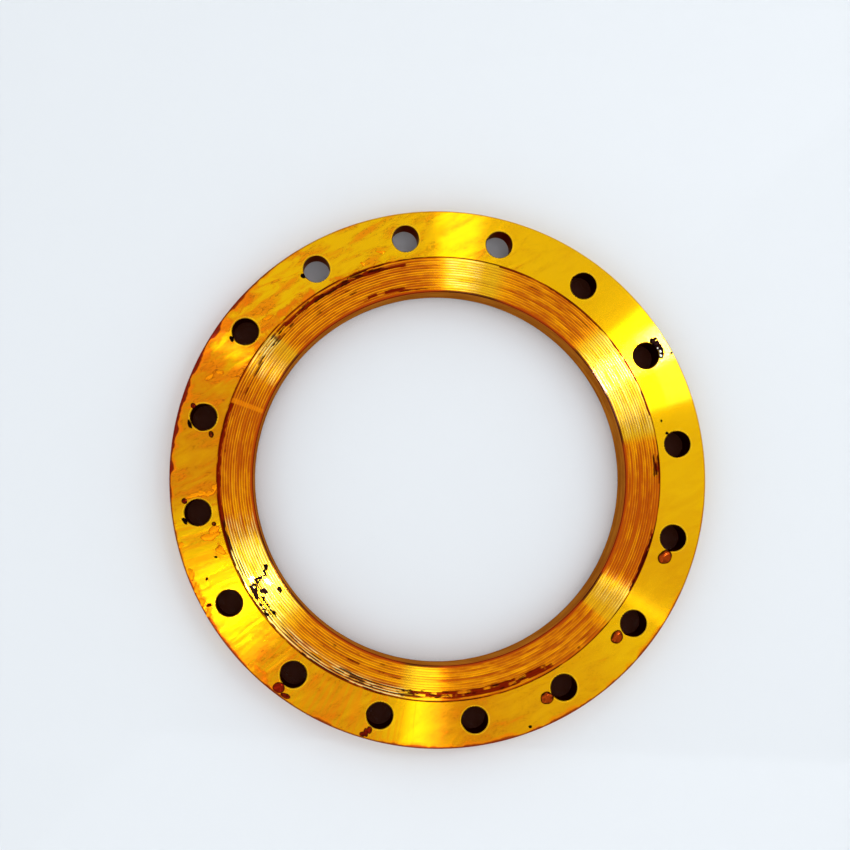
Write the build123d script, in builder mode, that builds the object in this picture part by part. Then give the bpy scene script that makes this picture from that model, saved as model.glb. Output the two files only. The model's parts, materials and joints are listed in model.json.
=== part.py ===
# Plate flange for a steel pipe: one disc of carbon steel, turned on both sides and drilled.
# Sizes are in millimetres. The origin is the centre of the bore on the back face,
# and +Z runs along the bore towards the raised sealing face.
import os

from build123d import *

# The pipe slips into the bore from the back and is welded there, so the bore follows the pipe.
pipe_diameter = 355.6
pipe_clearance = 1.95
bore_chamfer = 1.2

# The raised face is the ring that the gasket lies on, one step above the plate.
raised_face_width = 34.75
raised_face_height = 4.0
raised_face_bevel = 1.0
step_root_chamfer = 0.8

# Concentric serrations bite into the gasket. The turning tool leaves each one with a
# steep flank towards the bore and a gentle flank that climbs outwards to the next crest.
serration_pitch = 2.4
serration_depth = 0.35
steep_flank_width = 0.6
inner_land_width = 2.5
least_outer_land_width = 1.2

# Bolt holes stand clear of the raised face, with a wall of steel left outside them.
bolt_hole_diameter = 26.0
bolt_hole_count = 16
face_to_bolt_hole = 7.5
bolt_hole_to_rim = 12.0

# The plate takes the load of the bolts between the back face and the step.
plate_thickness = 31.0
rim_chamfer = 1.0

# Radii add up from the pipe outwards, so a change of one size carries the rest along.
bore_radius = pipe_diameter / 2 + pipe_clearance
raised_face_radius = bore_radius + raised_face_width
bolt_hole_radius = bolt_hole_diameter / 2
bolt_circle_radius = raised_face_radius + face_to_bolt_hole + bolt_hole_radius
rim_radius = bolt_circle_radius + bolt_hole_radius + bolt_hole_to_rim
overall_thickness = plate_thickness + raised_face_height

# Two bolt holes straddle each main axis, as on every flange of this kind.
first_bolt_angle = 180 / bolt_hole_count

# As many serrations as fit between the inner land and the least outer land.
first_crest_radius = bore_radius + bore_chamfer + inner_land_width
last_crest_limit = raised_face_radius - raised_face_bevel - least_outer_land_width
serration_count = int((last_crest_limit - first_crest_radius) / serration_pitch)
crest_radii = [first_crest_radius + turn * serration_pitch for turn in range(serration_count + 1)]

# Outline of the serrated face from the bore outwards: a crest, the foot of its steep
# flank, and so on to the last crest.
crest_height = overall_thickness
root_height = overall_thickness - serration_depth
serrated_outline = [(crest_radii[0], crest_height)]
for inner_crest, outer_crest in zip(crest_radii, crest_radii[1:]):
    serrated_outline.append((inner_crest + steep_flank_width, root_height))
    serrated_outline.append((outer_crest, crest_height))


with BuildPart() as flange:
    # Half-section of the turned disc: plate, step, raised face and serrations in one outline.
    with BuildSketch(Plane.XZ) as half_section:
        with BuildLine():
            Polyline(
                (bore_radius, 0),
                (bore_radius, overall_thickness),
                *serrated_outline,
                (raised_face_radius, overall_thickness),
                (raised_face_radius, plate_thickness),
                (rim_radius, plate_thickness),
                (rim_radius, 0),
                close=True,
            )
        make_face()
        columns = half_section.vertices().group_by(Axis.X)
        bore_corners = columns[0]
        rim_corners = columns[-1]
        step_root, step_edge = columns[-2].sort_by(Axis.Y)
        chamfer(bore_corners, length=bore_chamfer)
        chamfer(rim_corners, length=rim_chamfer)
        chamfer(step_edge, length=raised_face_bevel)
        chamfer(step_root, length=step_root_chamfer)
    revolve(axis=Axis.Z)

    # Bolt holes, drilled straight through the plate on their circle.
    with PolarLocations(bolt_circle_radius, bolt_hole_count, start_angle=first_bolt_angle):
        Hole(bolt_hole_radius)

os.makedirs("parts", exist_ok=True)
flange.part.label = "flange"
export_step(flange.part, "parts/flange.step")
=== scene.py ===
import json
import math

import bmesh
import bpy
import numpy as np
from mathutils import Matrix, Vector


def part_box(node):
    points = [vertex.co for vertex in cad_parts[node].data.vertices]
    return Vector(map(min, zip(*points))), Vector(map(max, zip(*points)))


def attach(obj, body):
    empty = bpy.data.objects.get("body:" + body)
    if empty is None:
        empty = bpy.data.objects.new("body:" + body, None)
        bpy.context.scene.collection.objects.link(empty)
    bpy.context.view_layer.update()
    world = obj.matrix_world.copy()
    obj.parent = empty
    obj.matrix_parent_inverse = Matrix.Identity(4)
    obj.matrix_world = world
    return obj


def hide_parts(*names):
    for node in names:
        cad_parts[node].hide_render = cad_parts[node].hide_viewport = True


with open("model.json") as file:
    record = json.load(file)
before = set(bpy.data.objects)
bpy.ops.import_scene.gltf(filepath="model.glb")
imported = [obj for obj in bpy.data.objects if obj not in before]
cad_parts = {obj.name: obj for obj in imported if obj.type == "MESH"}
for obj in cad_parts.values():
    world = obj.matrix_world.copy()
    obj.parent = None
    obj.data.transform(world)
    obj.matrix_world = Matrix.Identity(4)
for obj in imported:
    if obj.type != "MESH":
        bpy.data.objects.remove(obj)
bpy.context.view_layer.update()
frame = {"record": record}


# The flange is one disc of carbon steel, forged, turned on both sides and drilled. Its face
# carries concentric gasket serrations. It was dipped in amber anti-rust lacquer, which dried
# clear on the flats and dark red where it pooled.
MM = 0.001
mounts = {mount["name"]: mount for mount in frame["record"]["mounts"]}
box_low, box_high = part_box("flange")
rim_radius = min(box_high.x, box_high.y, -box_low.x, -box_low.y)
top_height = box_high.z
bore_radius = mounts["bore"]["dims"]["r_mm"] * MM
bolt_circle_radius = mounts["bolt_circle"]["dims"]["pcd_mm"] * MM / 2
bolt_hole_radius = mounts["bolt_circle"]["dims"]["hole_r_mm"] * MM
bolt_hole_count = mounts["bolt_circle"]["dims"]["count"]
raised_face_radius = 214.5 * MM
raised_face_height = 4.0 * MM
plate_height = top_height - raised_face_height
bore_break = 1.2 * MM
rim_break = 1.0 * MM
step_break = 1.0 * MM
step_root = 0.8 * MM
hole_break = 0.8 * MM
serration_pitch = 2.4 * MM
serration_depth = 0.35 * MM
steep_flank = 0.6 * MM
serration_count = 12
first_crest = bore_radius + bore_break + 2.5 * MM

arc_steps = 32
side_steps = 16
ring_steps = arc_steps * bolt_hole_count
ring_angles = np.arange(ring_steps) * 2 * math.pi / ring_steps


def grid_faces(rows, columns, wrap):
    """Quads of a grid of rows by columns points: each joins a point to the next one along its row
    and along its column. With wrap, the last column joins the first."""
    row, column = np.meshgrid(np.arange(rows - 1), np.arange(columns - (not wrap)), indexing="ij")
    after = (column + 1) % columns
    corners = (row * columns + column, row * columns + after, (row + 1) * columns + after, (row + 1) * columns + column)
    return np.stack(corners, axis=-1).reshape(-1, 4)


def turned_ring(section):
    """Grid of a turned surface: point (j, k) is the j-th (radius, height) of the half-section at
    the k-th angle, x = radius cos angle, y = radius sin angle, z = height."""
    radius, height = np.array(section).T
    return np.stack(
        [
            np.outer(radius, np.cos(ring_angles)),
            np.outer(radius, np.sin(ring_angles)),
            np.outer(height, np.ones(ring_steps)),
        ],
        axis=-1,
    )


def hole_circle(angle, radius):
    """Points of a circle about the bolt hole at the given angle, starting towards the bore and
    running against the clock: centre - radius (cos, sin) of the hole's angle plus the step's."""
    turns = angle + (np.arange(outline_steps) - arc_steps / 2) * 2 * math.pi / outline_steps
    centre = bolt_circle_radius * np.array([math.cos(angle), math.sin(angle)])
    return centre - radius * np.stack([np.cos(turns), np.sin(turns)], axis=-1)


def cell_outline(angle, inner, outer):
    """Outline of one bolt hole's share of the plate, with as many points as its circle: along the
    inner arc, out along one radial side, back along the outer arc and in along the other side."""
    half = math.pi / bolt_hole_count
    along_arc = np.linspace(half, -half, arc_steps, endpoint=False)
    along_side = np.linspace(inner, outer, side_steps, endpoint=False)
    angles = np.concatenate([along_arc, np.full(side_steps, -half), -along_arc, np.full(side_steps, half)]) + angle
    back_side = np.linspace(outer, inner, side_steps, endpoint=False)
    radii = np.concatenate([np.full(arc_steps, inner), along_side, np.full(arc_steps, outer), back_side])
    return radii[:, None] * np.stack([np.cos(angles), np.sin(angles)], axis=-1)


def plate_cell(angle, height, rings):
    """Grid round one bolt hole: row w runs from the hole's circle, w = 0, to the cell's outline,
    w = 1, by straight mixing of the two, closer together near the hole."""
    share = np.linspace(0, 1, rings + 1)[:, None, None] ** 1.3
    circle = hole_circle(angle, bolt_hole_radius + hole_break)
    outline = cell_outline(angle, raised_face_radius + step_root, rim_radius - rim_break)
    flat = circle * (1 - share) + outline * share
    return np.concatenate([flat, np.full((*flat.shape[:2], 1), height)], axis=-1)


def hole_wall(angle, levels):
    """Grid of one bolt hole's wall: its circle at each level, a height and how much wider the
    circle is there."""
    rows = [
        np.concatenate([hole_circle(angle, bolt_hole_radius + wider), np.full((outline_steps, 1), height)], axis=-1)
        for height, wider in levels
    ]
    return np.stack(rows)


outline_steps = 2 * (arc_steps + side_steps)

serrations = [(first_crest, top_height)]
for turn in range(serration_count):
    inner_crest = first_crest + turn * serration_pitch
    serrations.append((inner_crest + steep_flank, top_height - serration_depth))
    serrations.append((inner_crest + serration_pitch, top_height))

bore_and_face_section = [
    (raised_face_radius + step_root, 0),
    (bore_radius + bore_break, 0),
    (bore_radius, bore_break),
    (bore_radius, top_height - bore_break),
    (bore_radius + bore_break, top_height),
    *serrations,
    (raised_face_radius - step_break, top_height),
    (raised_face_radius, top_height - step_break),
    (raised_face_radius, plate_height + step_root),
    (raised_face_radius + step_root, plate_height),
]
rim_section = [
    (rim_radius - rim_break, plate_height),
    (rim_radius, plate_height - rim_break),
    (rim_radius, rim_break),
    (rim_radius - rim_break, 0),
]
hole_angles = (np.arange(bolt_hole_count) + 0.5) * 2 * math.pi / bolt_hole_count
turned_grids = [turned_ring(bore_and_face_section), turned_ring(rim_section)]
turned_grids += [plate_cell(angle, plate_height, 6) for angle in hole_angles]
turned_grids += [plate_cell(angle, 0, 3) for angle in hole_angles]
hole_mouth = ((plate_height, hole_break), (plate_height - hole_break, 0))
hole_foot = ((hole_break, 0), (0, hole_break))
turned_grids += [hole_wall(angle, hole_mouth) for angle in hole_angles]
turned_grids += [hole_wall(angle, hole_foot) for angle in hole_angles]
drilled_grids = [hole_wall(angle, (hole_mouth[1], hole_foot[0])) for angle in hole_angles]


def joined_mesh(name, grids_by_material, crease_angle):
    """One mesh of many grids whose columns close on themselves. Points that coincide become one,
    faces turn outwards, and edges sharper than the crease angle stay sharp under smooth shading."""
    weld_distance = 1e-7
    points, faces, slots = [], [], []
    start = 0
    for material_index, grids in enumerate(grids_by_material):
        for grid in grids:
            quads = grid_faces(*grid.shape[:2], True) + start
            points.append(grid.reshape(-1, 3))
            faces.append(quads)
            slots.append(np.full(len(quads), material_index))
            start += len(points[-1])
    points = np.concatenate(points)
    faces = np.concatenate(faces)
    mesh = bpy.data.meshes.new(name)
    mesh.from_pydata(points, [], faces)
    mesh.polygons.foreach_set("material_index", np.concatenate(slots).astype(np.int32))
    shell = bmesh.new()
    shell.from_mesh(mesh)
    bmesh.ops.remove_doubles(shell, verts=shell.verts, dist=weld_distance)
    bmesh.ops.recalc_face_normals(shell, faces=shell.faces)
    shell.to_mesh(mesh)
    shell.free()
    mesh.polygons.foreach_set("use_smooth", np.ones(len(mesh.polygons), bool))
    mesh.set_sharp_from_angle(angle=crease_angle)
    return mesh


class Tree:
    """One node tree under construction. Any input takes a plain value or another node's socket."""

    def __init__(self, tree):
        self.tree = tree

    def node(self, kind, _output=0, **inputs):
        """A node of that kind: names of its own settings are set, and all else fills its inputs."""
        made = self.tree.nodes.new(kind)
        for key, value in inputs.items():
            if hasattr(made, key):
                setattr(made, key, value)
        for key, value in inputs.items():
            if not hasattr(made, key):
                self.fill(made.inputs[key.replace("_", " ")], value)
        return made

    def fill(self, socket, value):
        """Links a socket or sets a value."""
        if isinstance(value, bpy.types.NodeSocket):
            self.tree.links.new(value, socket)
        elif value is not None:
            socket.default_value = value

    def math(self, operation, *values, clamp=False):
        """The result of a Math node."""
        made = self.tree.nodes.new("ShaderNodeMath")
        made.operation = operation
        made.use_clamp = clamp
        for socket, value in zip(made.inputs, values):
            self.fill(socket, value)
        return made.outputs[0]

    def vector(self, operation, *values, scale=None):
        """The vector result of a Vector Math node."""
        made = self.tree.nodes.new("ShaderNodeVectorMath")
        made.operation = operation
        for socket, value in zip(made.inputs, values):
            self.fill(socket, value)
        if scale is not None:
            self.fill(made.inputs["Scale"], scale)
        return made.outputs["Vector"]

    def span(self, value, low, high, to_low=0.0, to_high=1.0, smooth=True):
        """Value carried from low..high to to_low..to_high, held at both ends."""
        made = self.tree.nodes.new("ShaderNodeMapRange")
        made.interpolation_type = "SMOOTHSTEP" if smooth else "LINEAR"
        for socket, given in zip(made.inputs, (value, low, high, to_low, to_high)):
            self.fill(socket, given)
        return made.outputs[0]

    def mix(self, share, first, second):
        """Two colours mixed by a share from 0 to 1."""
        made = self.tree.nodes.new("ShaderNodeMix")
        made.data_type = "RGBA"
        self.fill(made.inputs[0], share)
        self.fill(made.inputs[6], first)
        self.fill(made.inputs[7], second)
        return made.outputs[2]

    def group(self, name, **inputs):
        """A named effect placed in this tree."""
        made = self.tree.nodes.new("ShaderNodeGroup")
        made.node_tree = bpy.data.node_groups[name]
        for key, value in inputs.items():
            self.fill(made.inputs[key.replace("_", " ")], value)
        return made.outputs


def effect(name, inputs, outputs):
    """An empty shader node group with named sockets, and its input and output nodes' sockets.
    Inputs are name, kind and value; outputs are name and kind."""
    tree = bpy.data.node_groups.new(name, "ShaderNodeTree")
    for label, kind, value in inputs:
        socket = tree.interface.new_socket(label, in_out="INPUT", socket_type="NodeSocket" + kind)
        if value is not None:
            socket.default_value = value
    for label, kind in outputs:
        tree.interface.new_socket(label, in_out="OUTPUT", socket_type="NodeSocket" + kind)
    given = tree.nodes.new("NodeGroupInput")
    result = tree.nodes.new("NodeGroupOutput")
    return Tree(tree), given.outputs, result.inputs


# Place on the ring: how far from the bore's axis, how far round, and the direction round it.
tree, given, result = effect(
    "ring place",
    [("Position", "Vector", None)],
    [("Radius", "Float"), ("Height", "Float"), ("Outward", "Vector"), ("Around", "Vector")],
)
flat = tree.vector("MULTIPLY", given["Position"], (1, 1, 0))
outward = tree.vector("NORMALIZE", flat)
reach = tree.node("ShaderNodeVectorMath", operation="LENGTH")
tree.fill(reach.inputs[0], flat)
tree.fill(result["Radius"], reach.outputs["Value"])
tree.fill(result["Height"], tree.node("ShaderNodeSeparateXYZ", Vector=given["Position"]).outputs[2])
tree.fill(result["Outward"], outward)
tree.fill(result["Around"], tree.vector("CROSS_PRODUCT", (0, 0, 1), outward))

# Turning marks: the feed of the lathe tool leaves fine rings, so the surface leans to and fro
# across them. The lean changes from ring to ring and gives the fanned highlights of turned metal.
tree, given, result = effect(
    "turning marks",
    [("Position", "Vector", None), ("Feed", "Float", 0.00023), ("Lean", "Float", 0.3)],
    [("Normal", "Vector")],
)
at = tree.group("ring place", Position=given["Position"])
ring = tree.math("DIVIDE", tree.math("ADD", at["Radius"], at["Height"]), given["Feed"])
hill = tree.math("SUBTRACT", tree.math("PINGPONG", ring, 1.0), 0.5)
lean = tree.math("MULTIPLY", hill, tree.math("MULTIPLY", given["Lean"], 2.0))
surface = tree.node("ShaderNodeNewGeometry").outputs["Normal"]
across_marks = tree.vector("CROSS_PRODUCT", surface, at["Around"])
leaning = tree.vector("ADD", surface, tree.vector("SCALE", across_marks, scale=lean))
tree.fill(result["Normal"], tree.vector("NORMALIZE", leaning))

# Ring noise: cloudy noise that can be drawn out along the rings or across them. Along and
# Across are cycles per metre.
tree, given, result = effect(
    "ring noise",
    [("Position", "Vector", None), ("Along", "Float", 100.0), ("Across", "Float", 100.0), ("Seed", "Float", 0.0)],
    [("Value", "Float")],
)
at = tree.group("ring place", Position=given["Position"])
around = tree.vector("SCALE", at["Outward"], scale=tree.math("MULTIPLY", given["Along"], bolt_circle_radius))
section_way = tree.math("MULTIPLY", tree.math("ADD", at["Radius"], at["Height"]), given["Across"])
upward = tree.node("ShaderNodeCombineXYZ", Z=tree.math("ADD", section_way, given["Seed"])).outputs[0]
cloud = tree.node("ShaderNodeTexNoise", Vector=tree.vector("ADD", around, upward), Scale=1.0, Detail=3.0)
tree.fill(result["Value"], cloud.outputs["Fac"])

# Serrations: where a point lies in the gasket serrations, the share of each groove's own value,
# and dashes that follow one groove at a time.
tree, given, result = effect(
    "serrations",
    [("Position", "Vector", None), ("Dashes", "Float", 60.0)],
    [("Inside", "Float"), ("Root", "Float"), ("Crest", "Float"), ("Groove", "Float"), ("Dash", "Float")],
)
at = tree.group("ring place", Position=given["Position"])
turns = tree.math("DIVIDE", tree.math("SUBTRACT", at["Radius"], first_crest), serration_pitch)
phase = tree.math("FLOORED_MODULO", turns, 1.0)
number = tree.math("FLOOR", turns)
past_first = tree.math("GREATER_THAN", turns, 0.0)
tree.fill(result["Inside"], tree.math("MULTIPLY", past_first, tree.math("LESS_THAN", turns, serration_count)))
root_phase = steep_flank / serration_pitch
tree.fill(result["Root"], tree.span(tree.math("ABSOLUTE", tree.math("SUBTRACT", phase, root_phase)), 0.0, 0.3, 1.0, 0.0))
from_middle = tree.math("ABSOLUTE", tree.math("SUBTRACT", phase, 0.5))
tree.fill(result["Crest"], tree.span(from_middle, 0.15, 0.5))
tree.fill(result["Groove"], tree.node("ShaderNodeTexWhiteNoise", noise_dimensions="1D", W=number).outputs["Value"])
around = tree.vector("SCALE", at["Outward"], scale=tree.math("MULTIPLY", given["Dashes"], bolt_circle_radius))
own_row = tree.node("ShaderNodeCombineXYZ", Z=tree.math("MULTIPLY", number, 7.3)).outputs[0]
cloud = tree.node("ShaderNodeTexNoise", Vector=tree.vector("ADD", around, own_row), Scale=1.0, Detail=2.0)
tree.fill(result["Dash"], cloud.outputs["Fac"])

# Patches: noise cut to blots. Amount 0 leaves none and 1 covers nearly all, and Edge is softness.
tree, given, result = effect(
    "patches",
    [("Noise", "Float", 0.5), ("Amount", "Float", 0.5), ("Edge", "Float", 0.03)],
    [("Mask", "Float")],
)
level = tree.math("SUBTRACT", 0.86, tree.math("MULTIPLY", given["Amount"], 0.5))
mask = tree.span(given["Noise"], tree.math("SUBTRACT", level, given["Edge"]), tree.math("ADD", level, given["Edge"]))
tree.fill(result["Mask"], mask)

# Lacquer runs: the wet film flowed in one direction and left soft thick bands, and where it
# dried too thick its skin wrinkled into fine curved lines.
tree, given, result = effect(
    "lacquer runs",
    [("Position", "Vector", None), ("Direction", "Float", 0.5), ("Size", "Float", 60.0), ("Stretch", "Float", 4.0)],
    [("Thick", "Float"), ("Wrinkle", "Float"), ("Height", "Float")],
)
turned = tree.node("ShaderNodeVectorRotate", rotation_type="Z_AXIS", Vector=given["Position"], Angle=given["Direction"])
shorter = tree.math("DIVIDE", given["Size"], given["Stretch"])
scales = tree.node("ShaderNodeCombineXYZ", X=shorter, Y=given["Size"], Z=given["Size"]).outputs[0]
drawn_out = tree.vector("MULTIPLY", turned.outputs[0], scales)
band = tree.node("ShaderNodeTexNoise", Vector=drawn_out, Scale=1.0, Detail=3.0, Roughness=0.55, Distortion=0.6)
tree.fill(result["Thick"], band.outputs["Fac"])
skin = tree.node("ShaderNodeTexNoise", Vector=drawn_out, Scale=2.6, Detail=2.0, Distortion=1.4)
off_line = tree.math("ABSOLUTE", tree.math("SUBTRACT", skin.outputs["Fac"], 0.5))
tree.fill(result["Wrinkle"], tree.span(off_line, 0.0, 0.028, 1.0, 0.0))
swell = tree.node("ShaderNodeTexNoise", Vector=drawn_out, Scale=1.0, Detail=0.5, Distortion=0.6)
tree.fill(result["Height"], swell.outputs["Fac"])

# What changes round the ring. Each row is degrees against the clock from +X and a value: how
# thick the film dried on the plate, how bright the serrations are (their own tone, raised in the lamps' fans as a
# painted highlight), how dark their lines are, how dark the outer edge is, and how much the skin wrinkled.
film_stops = (
    (0, 0.05), (15, 0.0), (70, 0.0), (80, 0.1), (99, 0.15), (104, 0.05), (113, 0.1), (122, 0.25), (129, 0.1),
    (135, 0.15), (141, 0.3), (145, 0.4), (152, 0.55), (158, 0.85), (164, 1.0), (169, 1.1), (176, 0.85),
    (184, 1.0), (187, 1.0), (191, 0.35), (195, 0.1), (205, 0.0), (222, 0.05), (227, 0.75), (240, 0.6), (245, 0.8), (254, 0.6),
    (259, 0.5), (262, 0.1), (268, 0.1), (272, 0.8), (279, 1.0), (286, 0.75), (294, 0.5), (310, 0.4), (319, 0.1), (325, 0.0), (336, 0.35),
    (344, 0.4), (352, 0.2), (360, 0.05),
)
tone_and_highlight_stops = (
    (0, 0.1), (10, 0.3), (16, 0.85), (44, 0.9), (50, 0.4), (60, 0.3), (70, 0.4), (78, 0.8), (90, 0.8),
    (96, 0.5), (102, 0.3), (110, 0.3), (120, 0.4), (130, 0.4), (138, 0.3), (143, 0.75), (154, 0.65),
    (158, 0.25), (163, 0.05), (178, 0.15), (184, 0.35), (194, 0.5), (204, 0.85), (222, 0.9), (230, 0.6), (242, 0.5), (250, 0.4),
    (260, 0.5), (264, 0.8), (272, 0.7), (278, 0.35), (285, 0.4), (312, 0.3), (319, 0.2), (323, 0.75),
    (332, 0.8), (336, 0.05), (350, 0.0), (360, 0.1),
)
line_stops = (
    (0, 0.55), (14, 0.7), (18, 0.95), (44, 0.85), (60, 0.45), (78, 0.55), (95, 0.6), (104, 0.95), (160, 0.95),
    (172, 0.7), (190, 0.8), (200, 1.0), (232, 1.0), (245, 0.8), (262, 0.55), (272, 0.3), (322, 0.3), (334, 0.7),
    (350, 0.65), (360, 0.55),
)
edge_stops = (
    (0, 0.3), (20, 0.1), (60, 0.05), (95, 0.2), (125, 0.4), (140, 0.9), (150, 1.0), (182, 1.0), (190, 0.8),
    (200, 0.6), (214, 0.85), (235, 0.8), (250, 0.75), (270, 0.8), (300, 0.8), (320, 0.75), (340, 0.5), (360, 0.4),
)
wrinkle_stops = (
    (0, 0.0), (60, 0.0), (75, 0.25), (92, 0.45), (110, 0.65), (125, 0.75), (140, 0.95), (155, 1.0), (165, 0.8),
    (176, 0.45), (184, 0.8), (190, 0.65), (196, 0.5), (212, 0.5), (232, 0.65), (252, 0.5), (262, 0.12), (269, 0.12), (275, 0.45), (300, 0.3), (320, 0.1),
    (360, 0.0),
)

# Dark stains in the serrations, each with where it starts and ends round the ring, its inner and
# outer radius in millimetres, and how much of it is stained.
stain_places = (
    (20, 76, 212.6, 213.4, 0.9),
    (47, 72, 206.0, 206.4, 0.8),
    (98, 104, 181.5, 184.0, 0.9),
    (105, 115, 185.0, 188.5, 0.9),
    (103, 138, 207.8, 210.2, 1.1),
    (112, 128, 211.6, 212.2, 0.7),
    (112, 132, 196.0, 203.0, 0.5),
    (138, 160, 203.0, 213.0, 0.65),
    (163, 206, 210.8, 214.5, 1.0),
    (164, 205, 207.0, 209.5, 0.45),
    (209, 219, 197.0, 208.0, 0.5),
    (206, 262, 206.5, 213.5, 0.8),
    (238, 262, 186.0, 197.0, 0.48),
    (246, 303, 204.0, 211.5, 0.84),
    (303, 333, 207.0, 213.0, 0.4),
    (333, 348, 210.8, 214.5, 0.9),
    (3, 9, 208.5, 214.5, 0.8),
)
blot_places = (
    (108, 118, 208.5, 213.5, 0.8),
    (118, 133, 206.5, 212.0, 0.75),
    (135, 141, 204.0, 210.0, 0.55),
    (245, 255, 204.0, 211.0, 0.72),
    (262, 275, 204.0, 211.0, 0.67),
    (280, 300, 204.0, 210.0, 0.57),
    (334, 347, 211.0, 214.5, 0.85),
    (4, 9, 208.0, 214.2, 0.85),
)
# Fans where the lamps' highlights fall, in which the crests are painted pale as a painted highlight and the
# roots and stains are painted darker, fine streaks that point at the bore, and places where the film dried to a high
# gloss.
highlight_fan_places = (
    (17, 44, 182.0, 213.0, 0.4),
    (83, 90, 182.0, 213.0, 0.5),
    (144, 148, 202.0, 213.5, 1.0),
    (148, 153, 182.0, 213.0, 0.4),
    (195, 224, 182.0, 213.0, 0.5),
    (203, 262, 204.0, 213.0, 1.0),
    (327, 333, 182.0, 213.0, 0.4),
)
streak_places = (
    (196, 262, 216.0, 262.0, 1.0),
)
gloss_places = (
    (20, 38, 180.0, 214.0, 0.8),
    (22, 38, 236.0, 262.0, 0.6),
    (82, 88, 180.0, 214.0, 0.2),
    (143, 150, 180.0, 214.0, 0.3),
    (205, 219, 180.0, 214.0, 0.25),
)
# Where the film ran and stayed thick and orange, where it burnt black in the serrations, and
# where it is gone to bare metal.
flow_places = (
    (106, 128, 215.0, 219.0, 0.6),
    (127, 149, 214.5, 224.0, 0.72),
    (138, 157, 250.0, 260.0, 0.8),
    (152, 164, 240.0, 256.0, 0.45),
    (162.3, 163.0, 179.0, 214.5, 1.0),
    (184, 190, 214.5, 220.0, 0.6),
    (195, 203, 215.0, 228.0, 0.55),
    (203, 215, 252.0, 260.0, 0.75),
    (227, 235, 250.0, 260.0, 0.7),
)
scorch_places = (
    (209.6, 211.4, 185.0, 188.5, 0.85),
    (210.8, 212.2, 190.0, 195.0, 0.86),
    (211.6, 213.3, 196.0, 202.5, 0.88),
    (212.5, 214.2, 205.0, 211.0, 0.78),
    (214.2, 216.8, 207.0, 211.5, 0.72),
    (214.9, 216.6, 198.5, 204.5, 0.88),
    (217.2, 218.6, 186.0, 190.0, 0.88),
    (216.5, 223.5, 204.0, 206.5, 0.85),
    (218.0, 221.5, 209.0, 212.0, 0.7),
    (144.0, 146.5, 205.0, 210.0, 0.6),
)
bare_places = (
    (213.3, 215.0, 189.5, 194.5, 0.9),
    (210.6, 211.6, 203.0, 206.5, 0.7),
)


def round_the_ring(stops, points):
    """Value at each point from its angle about the bore: straight lines between the stops."""
    angle = np.degrees(np.arctan2(points[:, 1], points[:, 0])) % 360
    return np.interp(angle, *np.array(stops, float).T)


def ring_windows(places, points, soft_angle, soft_width):
    """Largest of the windows at each point: a window is its amount inside its angles and radii,
    and falls to nothing over the soft angle and the soft width outside them."""
    angle = np.degrees(np.arctan2(points[:, 1], points[:, 0])) % 360
    radius = np.hypot(points[:, 0], points[:, 1]) / MM
    total = np.zeros(len(points))
    for start, end, inner, outer, amount in places:
        half = (end - start) / 2
        off_middle = np.abs((angle - start - half + 180) % 360 - 180)
        along = np.clip((half + soft_angle - off_middle) / soft_angle, 0, 1)
        across = np.clip(np.minimum(radius - inner, outer - radius) / soft_width + 1, 0, 1)
        total = np.maximum(total, amount * along * across)
    return total


def distance_to_holes(points):
    """Distance from each point to the axis of the nearest bolt hole."""
    centres = bolt_circle_radius * np.stack([np.cos(hole_angles), np.sin(hole_angles)], axis=-1)
    return np.hypot(*(points[:, None, :2] - centres).transpose(2, 0, 1)).min(axis=1)


amber = (0.78, 0.43, 0.001, 1)
deep_amber = (0.60, 0.215, 0.001, 1)
run_orange = (0.80, 0.190, 0.002, 1)
serration_dark = (0.46, 0.082, 0.001, 1)
serration_bright = (0.88, 0.36, 0.001, 1)
highlight_gold = (0.66, 0.44, 0.010, 1)
root_brown = (0.40, 0.050, 0.001, 1)
lip_shade = (0.13, 0.030, 0.001, 1)
bore_brown = (0.40, 0.135, 0.012, 1)
bore_dark = (0.26, 0.072, 0.006, 1)
maroon = (0.17, 0.006, 0.001, 1)
black_red = (0.030, 0.002, 0.001, 1)
edge_red = (0.20, 0.010, 0.001, 1)
crest_highlight_pale = (0.93, 0.80, 0.34, 1)
bare_steel = (0.62, 0.58, 0.44, 1)
scorch_black = (0.004, 0.001, 0.001, 1)
band_orange = (0.80, 0.23, 0.002, 1)
mouth_highlight_yellow = (0.92, 0.55, 0.01, 1)
flow_edge = (0.62, 0.120, 0.001, 1)

lacquered_steel = bpy.data.materials.new("lacquered_steel")
lacquered_steel.use_nodes = True
lacquered_steel.node_tree.nodes.clear()
face = Tree(lacquered_steel.node_tree)
position = face.node("ShaderNodeTexCoord").outputs["Object"]
at = face.group("ring place", Position=position)
film, tone_and_highlight, lines, edge, wrinkling = (
    face.node("ShaderNodeAttribute", attribute_name=label).outputs["Fac"]
    for label in ("film", "tone_and_highlight", "lines", "edge", "wrinkling")
)
stained, blotted, highlight_fan, streaked, gloss, flowed, scorched, bared = (
    face.node("ShaderNodeAttribute", attribute_name=label).outputs["Fac"]
    for label in ("stained", "blotted", "highlight_fan", "streaked", "gloss", "flowed", "scorched", "bared")
)

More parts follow.
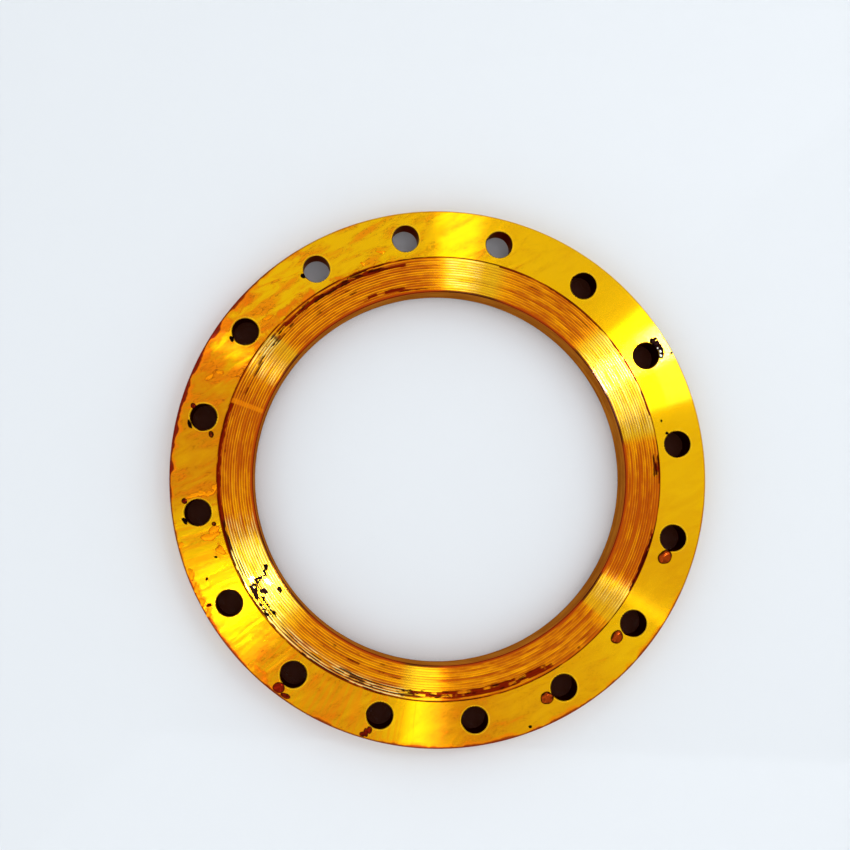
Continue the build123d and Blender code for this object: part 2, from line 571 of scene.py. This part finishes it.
# Plate: amber to deep amber with the film, orange where it ran, brown in its wrinkles.
runs = face.group("lacquer runs", Position=position, Direction=math.radians(-32), Size=95.0, Stretch=3.0)
uneven = face.math("MULTIPLY", face.math("SUBTRACT", runs["Thick"], 0.5), 1.6)
thickness = face.math("ADD", film, face.math("MULTIPLY", uneven, face.span(wrinkling, 0.0, 1.0, 0.35, 1.0)), clamp=True)
plate_colour = face.mix(thickness, amber, deep_amber)
run_mask = face.group("patches", Noise=runs["Thick"], Amount=face.math("MULTIPLY", wrinkling, 0.8), Edge=0.12)["Mask"]
plate_colour = face.mix(face.math("MULTIPLY", run_mask, 0.62), plate_colour, run_orange)
line_mask = face.math("MULTIPLY", runs["Wrinkle"], face.span(runs["Thick"], 0.44, 0.58))
line_mask = face.math("MULTIPLY", line_mask, wrinkling)
plate_colour = face.mix(face.math("MULTIPLY", line_mask, 0.8), plate_colour, edge_red)
streak_noise = face.group("ring noise", Position=position, Along=300.0, Across=18.0, Seed=3.0)["Value"]
streaks = face.group("patches", Noise=streak_noise, Amount=face.math("MULTIPLY", streaked, 0.7), Edge=0.1)["Mask"]
plate_colour = face.mix(face.math("MULTIPLY", streaks, 0.35), plate_colour, run_orange)
flow_noise = face.group("ring noise", Position=position, Along=90.0, Across=110.0, Seed=11.0)["Value"]
flow = face.group("patches", Noise=flow_noise, Amount=flowed, Edge=0.09)["Mask"]
flow_heart = face.group("patches", Noise=flow_noise, Amount=face.math("SUBTRACT", flowed, 0.14), Edge=0.07)["Mask"]
flow = face.math("MULTIPLY", flow, face.span(flowed, 0.0, 0.3))
flow_heart = face.math("MULTIPLY", flow_heart, face.span(flowed, 0.1, 0.4))
plate_colour = face.mix(face.math("MULTIPLY", flow, 0.6), plate_colour, flow_edge)
plate_colour = face.mix(face.math("MULTIPLY", flow_heart, 0.8), plate_colour, run_orange)

# Raised face: bright crests, brown roots, no two grooves alike, dark stains, and in the lamps' fans crests painted pale
# as a painted highlight.
cut = face.group("serrations", Position=position, Dashes=45.0)
own_tone = face.math("MULTIPLY", face.math("SUBTRACT", cut["Groove"], 0.5), 0.5)
along_tone = face.math("MULTIPLY", face.math("SUBTRACT", cut["Dash"], 0.5), 1.6)
crest_tone = face.math("MULTIPLY", face.math("MULTIPLY", face.math("SUBTRACT", cut["Crest"], 0.35), 0.9), lines)
uneven_tone = face.math("ADD", face.math("ADD", own_tone, along_tone), crest_tone)
ring_tone_and_highlight = face.math("ADD", tone_and_highlight, uneven_tone, clamp=True)
ring_colour = face.mix(ring_tone_and_highlight, serration_dark, serration_bright)
# Painted highlight: where the tone is high, in the lamps' fans, the serrations are mixed towards gold.
ring_colour = face.mix(face.span(tone_and_highlight, 0.55, 0.85, 0.0, 0.7), ring_colour, highlight_gold)
own_line = face.math("MULTIPLY", lines, face.span(cut["Groove"], 0.0, 1.0, 0.45, 1.0))
own_line = face.math("MULTIPLY", own_line, face.span(cut["Dash"], 0.3, 0.6, 1.0, 0.55))
root_depth = face.math("MULTIPLY", face.math("MULTIPLY", cut["Root"], cut["Inside"]), own_line)
root_colour = face.mix(face.span(stained, 0.1, 0.6), root_brown, maroon)
# Painted shade: inside the highlight fans the roots are painted near black, so that they stay dark lines in the
# highlight.
root_colour = face.mix(face.span(highlight_fan, 0.1, 0.7), root_colour, black_red)
ring_colour = face.mix(root_depth, ring_colour, root_colour)
# Painted highlight: in the fans the crests are mixed towards a pale colour that stands in for the lamps' reflection on
# them.
crest_highlight_noise = face.group("ring noise", Position=position, Along=40.0, Across=300.0, Seed=9.0)["Value"]
crest_highlight = face.math("MULTIPLY", face.math("MULTIPLY", cut["Crest"], highlight_fan), face.span(crest_highlight_noise, 0.35, 0.6))
ring_colour = face.mix(crest_highlight, ring_colour, crest_highlight_pale)
dashes = face.group("serrations", Position=position, Dashes=50.0)
long_stain = face.group("patches", Noise=dashes["Dash"], Amount=stained, Edge=0.03)["Mask"]
crest_share = face.math("MULTIPLY", face.span(stained, 0.6, 0.8, 0.7, 0.97), face.span(highlight_fan, 0.5, 0.9, 1.0, 0.1))
long_stain = face.math("MULTIPLY", long_stain, face.span(dashes["Root"], 0.0, 0.5, crest_share, 1.0))
blot_noise = face.group("ring noise", Position=position, Along=85.0, Across=330.0)["Value"]
blot = face.group("patches", Noise=blot_noise, Amount=blotted, Edge=0.03)["Mask"]
blot = face.math("MULTIPLY", blot, face.span(blotted, 0.0, 0.2))
blot = face.math("MULTIPLY", blot, face.span(cut["Root"], 0.0, 0.25, 0.7, 1.0))
long_stain = face.math("MULTIPLY", long_stain, face.span(stained, 0.0, 0.2))
# The stains are real marks; inside the highlight fans they are also painted near black, a painted shade that keeps them
# dark in the highlight.
ring_colour = face.mix(long_stain, ring_colour, face.mix(face.span(highlight_fan, 0.1, 0.5), maroon, black_red))
ring_colour = face.mix(blot, ring_colour, black_red)
scorch_noise = face.group("ring noise", Position=position, Along=210.0, Across=230.0, Seed=1.0)["Value"]
bare = face.group("patches", Noise=scorch_noise, Amount=face.math("MULTIPLY", bared, 1.2), Edge=0.03)["Mask"]
bare = face.math("MULTIPLY", bare, face.span(bared, 0.1, 0.5))
bare = face.math("MULTIPLY", bare, face.span(cut["Root"], 0.2, 0.7, 1.0, 0.3))
ring_colour = face.mix(bare, ring_colour, bare_steel)
scorch_noise = face.group("ring noise", Position=position, Along=170.0, Across=200.0, Seed=2.0)["Value"]
scorch = face.group("patches", Noise=scorch_noise, Amount=scorched, Edge=0.02)["Mask"]
scorch = face.math("MULTIPLY", scorch, face.span(scorched, 0.1, 0.4))
scorch = face.math("MULTIPLY", scorch, face.span(bared, 0.55, 0.65, 1.0, 0.0))
ring_colour = face.mix(scorch, ring_colour, scorch_black)
ring_colour = face.mix(face.span(flowed, 0.4, 0.9, 0.0, 0.75), ring_colour, band_orange)
stain = face.math("MAXIMUM", face.math("MAXIMUM", long_stain, blot), scorch)

# The step keeps a dark line of pooled lacquer, and the rim and the bore mouth are dark too.
on_top = face.span(at["Height"], top_height / 2 - 1.0 * MM, top_height / 2 + 1.0 * MM)
on_raised_face = face.span(at["Radius"], raised_face_radius - 0.3 * MM, raised_face_radius + 0.3 * MM, 1.0, 0.0)
on_raised_face = face.math("MULTIPLY", on_raised_face, on_top)
colour = face.mix(on_raised_face, plate_colour, ring_colour)
off_step = face.math("ABSOLUTE", face.math("SUBTRACT", at["Radius"], raised_face_radius))
step_noise = face.group("ring noise", Position=position, Along=60.0, Across=20.0, Seed=5.0)["Value"]
step_line = face.math("MULTIPLY", face.span(off_step, 0.5 * MM, 1.3 * MM, 0.95, 0.0), face.span(step_noise, 0.3, 0.5))
colour = face.mix(face.math("MULTIPLY", step_line, on_top), colour, maroon)
ragged = face.group("ring noise", Position=position, Along=55.0, Across=30.0, Seed=7.0)["Value"]
edge_width = face.math("MULTIPLY", face.math("MULTIPLY", edge, edge), face.span(ragged, 0.3, 0.7, 1.0 * MM, 11.0 * MM))
rim_gap = face.math("SUBTRACT", rim_radius, at["Radius"])
below_edge = face.math("SUBTRACT", plate_height, at["Height"])
hang_noise = face.group("ring noise", Position=position, Along=45.0, Across=12.0, Seed=13.0)["Value"]
hang = face.math("MULTIPLY", edge, face.span(hang_noise, 0.35, 0.7, 1.0 * MM, 11.0 * MM))
hang_gap = face.math("SUBTRACT", below_edge, hang)
off_rim_wall = face.span(hang_gap, -2.0 * MM, 5.0 * MM, 1.0, 0.0)
edge_share = face.span(face.math("SUBTRACT", rim_gap, edge_width), -3.0 * MM, 1.5 * MM, 1.0, 0.0)
edge_share = face.math("MULTIPLY", edge_share, face.span(hang_gap, 0.0, 9.0 * MM, 1.0, 0.15))
colour = face.mix(face.math("MULTIPLY", edge_share, 0.8), colour, run_orange)
edge_core = face.span(face.math("SUBTRACT", rim_gap, face.math("MULTIPLY", edge_width, 0.45)), -0.5 * MM, 0.8 * MM, 1.0, 0.0)
edge_core = face.math("MULTIPLY", edge_core, off_rim_wall)
colour = face.mix(face.math("MULTIPLY", edge_core, edge), colour, edge_red)
rim_line = face.math("MULTIPLY", face.span(rim_gap, 1.0 * MM, 1.7 * MM, 1.0, 0.0), edge)
rim_line = face.math("MULTIPLY", rim_line, face.span(below_edge, 1.0 * MM, 2.2 * MM, 1.0, 0.0))
colour = face.mix(rim_line, colour, maroon)
bore_gap = face.math("SUBTRACT", at["Radius"], bore_radius)
bore_lip = face.math("MULTIPLY", face.span(bore_gap, 2.0 * MM, 2.8 * MM, 1.0, 0.0), on_top)
# Painted shade: inside the highlight fans the bore lip and the chamfer line are painted darker, to hold back their
# reflection of the lamps.
in_shine = face.span(tone_and_highlight, 0.5, 0.8)
colour = face.mix(bore_lip, colour, face.mix(in_shine, root_brown, lip_shade))
off_chamfer = face.math("ABSOLUTE", face.math("SUBTRACT", bore_gap, bore_break / 2))
chamfer_line = face.span(off_chamfer, 0.3 * MM, 0.8 * MM, 0.85, 0.0)
colour = face.mix(chamfer_line, colour, face.mix(in_shine, maroon, black_red))
bore_rings = face.group("ring noise", Position=position, Along=6.0, Across=700.0, Seed=17.0)["Value"]
bore_film = face.group("ring noise", Position=position, Along=30.0, Across=60.0, Seed=19.0)["Value"]
bore_share = face.math("ADD", face.math("MULTIPLY", bore_rings, 0.6), face.math("MULTIPLY", bore_film, 0.4))
bore_colour = face.mix(face.span(bore_share, 0.4, 0.6), bore_dark, bore_brown)
colour = face.mix(face.span(bore_gap, 0.1 * MM, 0.3 * MM, 1.0, 0.0), colour, bore_colour)

hole_reach = face.node("ShaderNodeAttribute", attribute_name="hole_gap").outputs["Fac"]
# Painted highlight: a brighter yellow ring round each hole's mouth stands in for the lamps' glint on its chamfer.
colour = face.mix(face.span(hole_reach, 0.3 * MM, 0.9 * MM, 0.6, 0.0), colour, mouth_highlight_yellow)
clean = face.math("SUBTRACT", 1.0, face.math("MULTIPLY", stain, on_raised_face))
off_wall = face.span(bore_gap, 0.1 * MM, 0.3 * MM)
clean = face.math("MULTIPLY", clean, off_wall)

grain = face.group("turning marks", Position=position)
on_plate = face.math("SUBTRACT", 1.0, on_raised_face)
bumps = face.math("MULTIPLY", runs["Height"], face.math("MULTIPLY", wrinkling, on_plate))
waved = face.node("ShaderNodeBump", Strength=0.5, Distance=0.0004, Height=bumps, Normal=grain["Normal"])
circling = face.node("ShaderNodeTangent", direction_type="RADIAL", axis="Z").outputs[0]
shader = face.node(
    "ShaderNodeBsdfPrincipled",
    Base_Color=colour,
    Metallic=off_wall,
    Specular_IOR_Level=0.0,
    Roughness=0.11,
    Anisotropic=1.0,
    Anisotropic_Rotation=0.25,
    Specular_Tint=(1.0, 0.5, 0.04, 1),
    Coat_Weight=face.math("MULTIPLY", face.span(gloss, 0.0, 1.0, 0.06, 0.34), clean),
    Coat_Roughness=0.05,
    Normal=waved.outputs[0],
    Tangent=circling,
)
face.node("ShaderNodeOutputMaterial", Surface=shader.outputs[0])

drilled_steel = bpy.data.materials.new("drilled_steel")
drilled_steel.use_nodes = True
drilled_steel.node_tree.nodes.clear()
hole = Tree(drilled_steel.node_tree)
depth = hole.node("ShaderNodeSeparateXYZ", Vector=hole.node("ShaderNodeTexCoord").outputs["Object"]).outputs[2]
drill_feed = 1.6 * MM
threads = hole.span(hole.math("PINGPONG", hole.math("DIVIDE", depth, drill_feed), 1.0), 0.3, 0.8)
shader = hole.node(
    "ShaderNodeBsdfPrincipled",
    Base_Color=hole.mix(threads, (0.012, 0.002, 0.001, 1), (0.16, 0.026, 0.006, 1)),
    Metallic=1.0,
    Roughness=0.3,
    Specular_Tint=(0.8, 0.3, 0.08, 1),
)
hole.node("ShaderNodeOutputMaterial", Surface=shader.outputs[0])

flange_mesh = joined_mesh("turned_flange", [turned_grids, drilled_grids], math.radians(25))
flange_mesh.materials.append(lacquered_steel)
flange_mesh.materials.append(drilled_steel)
flange_points = np.empty(len(flange_mesh.vertices) * 3)
flange_mesh.vertices.foreach_get("co", flange_points)
flange_points = flange_points.reshape(-1, 3)
surface_values = {
    "film": round_the_ring(film_stops, flange_points),
    "tone_and_highlight": round_the_ring(tone_and_highlight_stops, flange_points),
    "lines": round_the_ring(line_stops, flange_points),
    "edge": round_the_ring(edge_stops, flange_points),
    "wrinkling": round_the_ring(wrinkle_stops, flange_points),
    "stained": ring_windows(stain_places, flange_points, 3.0, 1.2),
    "blotted": ring_windows(blot_places, flange_points, 2.0, 1.2),
    "highlight_fan": ring_windows(highlight_fan_places, flange_points, 2.0, 1.5),
    "streaked": ring_windows(streak_places, flange_points, 8.0, 3.0),
    "gloss": ring_windows(gloss_places, flange_points, 3.0, 3.0),
    "flowed": ring_windows(flow_places, flange_points, 1.0, 3.0),
    "scorched": ring_windows(scorch_places, flange_points, 1.0, 2.0),
    "bared": ring_windows(bare_places, flange_points, 0.8, 1.5),
    "hole_gap": distance_to_holes(flange_points) - bolt_hole_radius - hole_break,
}
for label, values in surface_values.items():
    flange_mesh.attributes.new(label, "FLOAT", "POINT").data.foreach_set("value", values.astype(np.float32))
flange = bpy.data.objects.new("turned_flange", flange_mesh)
bpy.context.scene.collection.objects.link(flange)
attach(flange, "root")
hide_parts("flange")


# Lacquer drops: thick drops of lacquer that gathered beside the bolt holes and at the rim while
# the coat drained. They dried round and glossy and stick to the plate; the dark colour at their foot is a painted shade
# round each dome.
bead_sides = 32
bead_levels = 9
bead_sink = 0.2 * MM


def lacquer_bead(ragged, radius, degrees, length, width, height, turn):
    """Grid of one drop, a closed dome on the plate, all sizes in millimetres. Its foot is an
    ellipse, length by width, with the lobes 1 + ragged times the sum of 4 cos(2u + radius),
    3 cos(3u + degrees) and 2 cos(5u + length), and its length turned from the outward direction.
    At v from 0 to 90 degrees the foot is drawn in by sin v and the height is (cos v) to the power
    0.8. A flat base closes it below the plate."""
    u = np.arange(bead_sides) * 2 * math.pi / bead_sides
    v = np.linspace(0, math.pi / 2, bead_levels)
    waves = 4 * np.cos(2 * u + radius) + 3 * np.cos(3 * u + degrees) + 2 * np.cos(5 * u + length)
    lobes = 1 + ragged * waves
    heading = math.radians(degrees + turn)
    long_way = length / 2 * np.cos(u) * lobes
    wide_way = width / 2 * np.sin(u) * lobes
    spread = np.concatenate([np.sin(v), [1, 0]])[:, None]
    rise = np.concatenate([height * np.cos(v) ** 0.8 * MM, [-bead_sink, -bead_sink]])[:, None]
    centre = radius * np.array([math.cos(math.radians(degrees)), math.sin(math.radians(degrees))])
    x = centre[0] + spread * (long_way * math.cos(heading) - wide_way * math.sin(heading))
    y = centre[1] + spread * (long_way * math.sin(heading) + wide_way * math.cos(heading))
    return np.stack([x * MM, y * MM, plate_height + rise + 0 * x], axis=-1)


def lacquer_drops(name, beads, ragged, foot_colour_and_shade, crown_colour, crown_height, mottle_scale):
    """A piece made of drops. Its colour runs from the foot's to the crown's with height above the
    plate, broken by a little noise. On the tall drops and drips the dark foot is painted shade; on the flat flows it is
    their darker edge."""
    paint = bpy.data.materials.new(name)
    paint.use_nodes = True
    paint.node_tree.nodes.clear()
    bead = Tree(paint.node_tree)
    place = bead.node("ShaderNodeTexCoord").outputs["Object"]
    above = bead.math("SUBTRACT", bead.node("ShaderNodeSeparateXYZ", Vector=place).outputs[2], plate_height)
    mottle = bead.node("ShaderNodeTexNoise", Vector=place, Scale=mottle_scale, Detail=2.0).outputs["Fac"]
    share = bead.math("ADD", bead.math("DIVIDE", above, crown_height * MM), bead.span(mottle, 0.3, 0.7, -0.25, 0.25))
    shader = bead.node(
        "ShaderNodeBsdfPrincipled",
        Base_Color=bead.mix(bead.span(share, 0.25, 0.95), foot_colour_and_shade, crown_colour),
        Metallic=1.0,
        Roughness=0.2,
        Specular_Tint=(0.16, 0.03, 0.01, 1),
    )
    bead.node("ShaderNodeOutputMaterial", Surface=shader.outputs[0])
    mesh = joined_mesh(name, [[lacquer_bead(ragged, *row) for row in beads]], math.radians(60))
    mesh.materials.append(paint)
    drops = bpy.data.objects.new(name, mesh)
    bpy.context.scene.collection.objects.link(drops)
    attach(drops, "root")


# Orange drops. Each row is radius and degrees of its centre, length, width, height and turn.
orange_beads = (
    (235.8, 299.0, 12.6, 12.4, 2.6, 0),
    (230.5, 321.2, 11.4, 13.6, 2.8, 20),
    (232.3, 343.8, 14.6, 12.8, 2.8, 60),
    (224.2, 172.4, 5.0, 6.5, 1.4, 30),
    (221.6, 194.6, 4.4, 4.4, 1.4, 0),
)
lacquer_drops("orange_drops", orange_beads, 0.01, (0.014, 0.001, 0.001, 1), (0.27, 0.036, 0.003, 1), 2.7, 300.0)

# Orange flows: flat ragged runs of the same lacquer beside the holes and at the rim.
flow_beads = (
    (238.4, 187.3, 12.0, 5.0, 0.35, 10),
    (230.0, 186.9, 12.0, 4.6, 0.35, -13),
    (221.5, 187.0, 10.0, 5.0, 0.35, 30),
    (216.9, 185.5, 8.0, 5.0, 0.30, 50),
    (227.6, 197.4, 17.0, 8.0, 0.45, 12),
    (222.5, 195.9, 12.0, 7.0, 0.35, 40),
    (221.7, 201.2, 8.0, 9.0, 0.35, 0),
    (255.3, 204.2, 6.5, 10.0, 0.45, 0),
    (256.2, 207.6, 5.0, 11.0, 0.45, 0),
    (256.8, 210.6, 4.6, 10.0, 0.40, 0),
    (256.6, 213.4, 5.0, 9.0, 0.45, 0),
    (256.6, 197.6, 4.4, 6.5, 0.40, 0),
    (226.8, 140.3, 10.0, 4.0, 0.40, 70),
    (226.6, 107.8, 7.5, 3.6, 0.40, 75),
    (220.6, 113.0, 4.5, 3.2, 0.35, 40),
    (242.0, 159.6, 13.0, 3.4, 0.35, 59),
    (235.2, 157.6, 10.0, 3.2, 0.35, 25),
)
lacquer_drops("orange_flows", flow_beads, 0.05, (0.40, 0.060, 0.001, 1), (0.80, 0.255, 0.002, 1), 0.30, 300.0)

# Red drips: the same lacquer where it ran from a hole's mouth to the rim and dried dark red.
red_beads = (
    (253.0, 235.4, 10.5, 11.5, 2.0, 0),
    (255.6, 237.6, 5.0, 10.0, 1.1, 15),
    (250.6, 257.3, 7.0, 5.4, 1.2, 10),
    (253.8, 256.7, 9.0, 4.2, 1.0, 25),
    (256.2, 256.1, 5.0, 6.0, 1.0, 20),
    (252.4, 211.9, 6.0, 3.4, 0.8, -10),
    (247.3, 166.9, 5.4, 5.4, 1.2, 20),
    (246.4, 188.3, 5.4, 6.0, 1.0, 0),
)
lacquer_drops("red_drips", red_beads, 0.012, (0.020, 0.002, 0.001, 1), (0.17, 0.008, 0.002, 1), 1.5, 400.0)

# Burrs and scabs: black lacquer burnt on at the chipped mouth of one hole, thin dark lips on the
# holes of one side, and small dots.
black_beads = (
    (248.2, 35.75, 6.0, 7.6, 0.5, 10),
    (249.9, 34.85, 7.0, 6.6, 0.5, -20),
    (250.6, 33.95, 6.4, 6.0, 0.5, 0),
    (250.4, 33.05, 6.0, 5.6, 0.5, 20),
    (249.2, 32.25, 5.6, 5.4, 0.5, -15),
    (247.6, 31.85, 4.6, 4.4, 0.5, 30),
    (251.8, 36.0, 4.0, 3.6, 0.4, 0),
    (257.6, 31.5, 3.0, 3.4, 0.4, 0),
    (246.2, 171.1, 8.5, 3.8, 0.5, -51),
    (248.4, 192.7, 8.5, 3.6, 0.5, -66),
    (241.5, 149.5, 7.0, 3.6, 0.5, -27),
    (236.1, 127.4, 6.0, 3.4, 0.5, -5),
    (228.1, 202.5, 3.2, 2.4, 0.4, 0),
    (226.5, 14.3, 3.0, 3.4, 0.4, 0),
    (223.9, 17.6, 2.2, 2.4, 0.4, 0),
    (243.6, 206.5, 3.0, 3.2, 0.4, 0),
    (254.6, 293.0, 4.0, 2.6, 0.4, 70),
)
lacquer_drops("black_scabs", black_beads, 0.03, (0.001, 0.001, 0.001, 1), (0.004, 0.001, 0.001, 1), 0.5, 900.0)

# Bare specks: spots of clean steel that show where the black scab has flaked.
bare_beads = (
    (249.4, 32.95, 2.6, 3.0, 0.7, 0),
    (247.7, 32.05, 2.8, 3.2, 0.7, 0),
    (248.6, 33.9, 1.8, 1.8, 0.7, 0),
)
lacquer_drops("bare_specks", bare_beads, 0.02, (0.80, 0.66, 0.30, 1), (0.97, 0.95, 0.85, 1), 0.3, 900.0)


# Floor: a plain pale sheet that the flange lies on, matt, wider than any view of it. Where it is enclosed, in the bolt
# holes, it is painted dark brown as painted shade, except under three holes, where it stays pale.
floor_half = 12.0
floor_mesh = bpy.data.meshes.new("floor")
floor_mesh.from_pydata(
    [(-floor_half, -floor_half, 0), (floor_half, -floor_half, 0), (floor_half, floor_half, 0), (-floor_half, floor_half, 0)],
    [],
    [(0, 1, 2, 3)],
)
floor_paint = bpy.data.materials.new("floor_paint")
floor_paint.use_nodes = True
floor_paint.node_tree.nodes.clear()
ground = Tree(floor_paint.node_tree)
# Painted shade: the floor's colour goes dark brown where ambient occlusion finds little open sky.
openness = ground.node("ShaderNodeAmbientOcclusion", samples=8, Distance=0.06).outputs["AO"]
shade = ground.span(openness, 0.22, 0.5)
for angle in hole_angles[3:6]:
    through = ground.node("ShaderNodeVectorMath", operation="DISTANCE")
    ground.fill(through.inputs[0], ground.node("ShaderNodeTexCoord").outputs["Object"])
    ground.fill(through.inputs[1], bolt_circle_radius * Vector((math.cos(angle), math.sin(angle), 0)))
    shade = ground.math("MAXIMUM", shade, ground.span(through.outputs["Value"], 14 * MM, 16 * MM, 1.0, 0.0))
floor_colour_with_painted_shade = ground.mix(shade, (0.07, 0.018, 0.008, 1), (0.68, 0.72, 0.76, 1))
sheet = ground.node("ShaderNodeBsdfDiffuse", Color=floor_colour_with_painted_shade)
ground.node("ShaderNodeOutputMaterial", Surface=sheet.outputs[0])
floor_mesh.materials.append(floor_paint)
floor = bpy.data.objects.new("floor", floor_mesh)
bpy.context.scene.collection.objects.link(floor)


# Camera: above the flange and a little to its left and near side, as the photograph was taken.
photo_side = 850
camera_place = Vector((-0.107, -0.031, 1.275))
camera_aim = Vector((-0.0449, 0.0197, 0.031))
camera_turn = math.radians(3.107)
camera_data = bpy.data.cameras.new("camera")
camera_data.lens = 54.7
camera_data.sensor_width = 36.0
camera_data.shift_x = 30 / photo_side
camera_data.shift_y = 30 / photo_side
camera_data.clip_end = 50.0
camera = bpy.data.objects.new("camera", camera_data)
backwards = (camera_place - camera_aim).normalized()
rightwards = Vector((-math.sin(camera_turn), math.cos(camera_turn), 0)).cross(backwards).normalized()
upwards = backwards.cross(rightwards)
turned = Matrix((rightwards, upwards, backwards)).transposed().to_4x4()
camera.matrix_world = Matrix.Translation(camera_place) @ turned
bpy.context.scene.collection.objects.link(camera)
bpy.context.scene.camera = camera


# Light: an even white surround, and wedge-shaped soft panels overhead. Their points meet where
# the camera sees the middle of the flange mirrored, so turned rings show them as fans.
panel_height = 1.5
panel_apex = Vector((0.135, 0.039))
panels = (
    ("panel_east", 32.0, 23.0, 0.05, 2.0, 3.2),
    ("panel_west", 215.5, 24.0, 0.05, 2.0, 2.0),
    ("panel_north", 88.3, 9.5, 0.05, 2.0, 2.7),
    ("panel_south", 269.5, 8.0, 0.05, 2.0, 2.7),
    ("panel_slit", 151.5, 2.6, 0.05, 2.0, 3.0),
    ("panel_slit_far", 331.3, 2.6, 0.05, 2.0, 2.3),
    ("panel_core", 35.0, 8.0, 0.25, 0.75, 80.0),
    ("panel_core_near", 212.5, 17.0, 0.05, 0.3, 3.5),
)
for name, azimuth, width, near, far, strength in panels:
    edges = [math.radians(azimuth + side * width / 2) for side in (-1, 1)]
    corners = [
        (panel_apex.x + reach * math.cos(edge), panel_apex.y + reach * math.sin(edge), panel_height)
        for reach, edge in ((near, edges[0]), (near, edges[1]), (far, edges[1]), (far, edges[0]))
    ]
    panel_mesh = bpy.data.meshes.new(name)
    panel_mesh.from_pydata(corners, [], [(0, 1, 2, 3)])
    glow = bpy.data.materials.new(name)
    glow.use_nodes = True
    glow.node_tree.nodes.clear()
    tree = Tree(glow.node_tree)
    light = tree.node("ShaderNodeEmission", Strength=strength)
    tree.node("ShaderNodeOutputMaterial", Surface=light.outputs[0])
    panel_mesh.materials.append(glow)
    panel = bpy.data.objects.new(name, panel_mesh)
    panel.visible_camera = False
    bpy.context.scene.collection.objects.link(panel)

world = bpy.data.worlds.new("surround")
world.use_nodes = True
world.node_tree.nodes["Background"].inputs["Color"].default_value = (1, 1, 1, 1)
world.node_tree.nodes["Background"].inputs["Strength"].default_value = 1.0
bpy.context.scene.world = world
bpy.context.scene.view_settings.view_transform = "Standard"
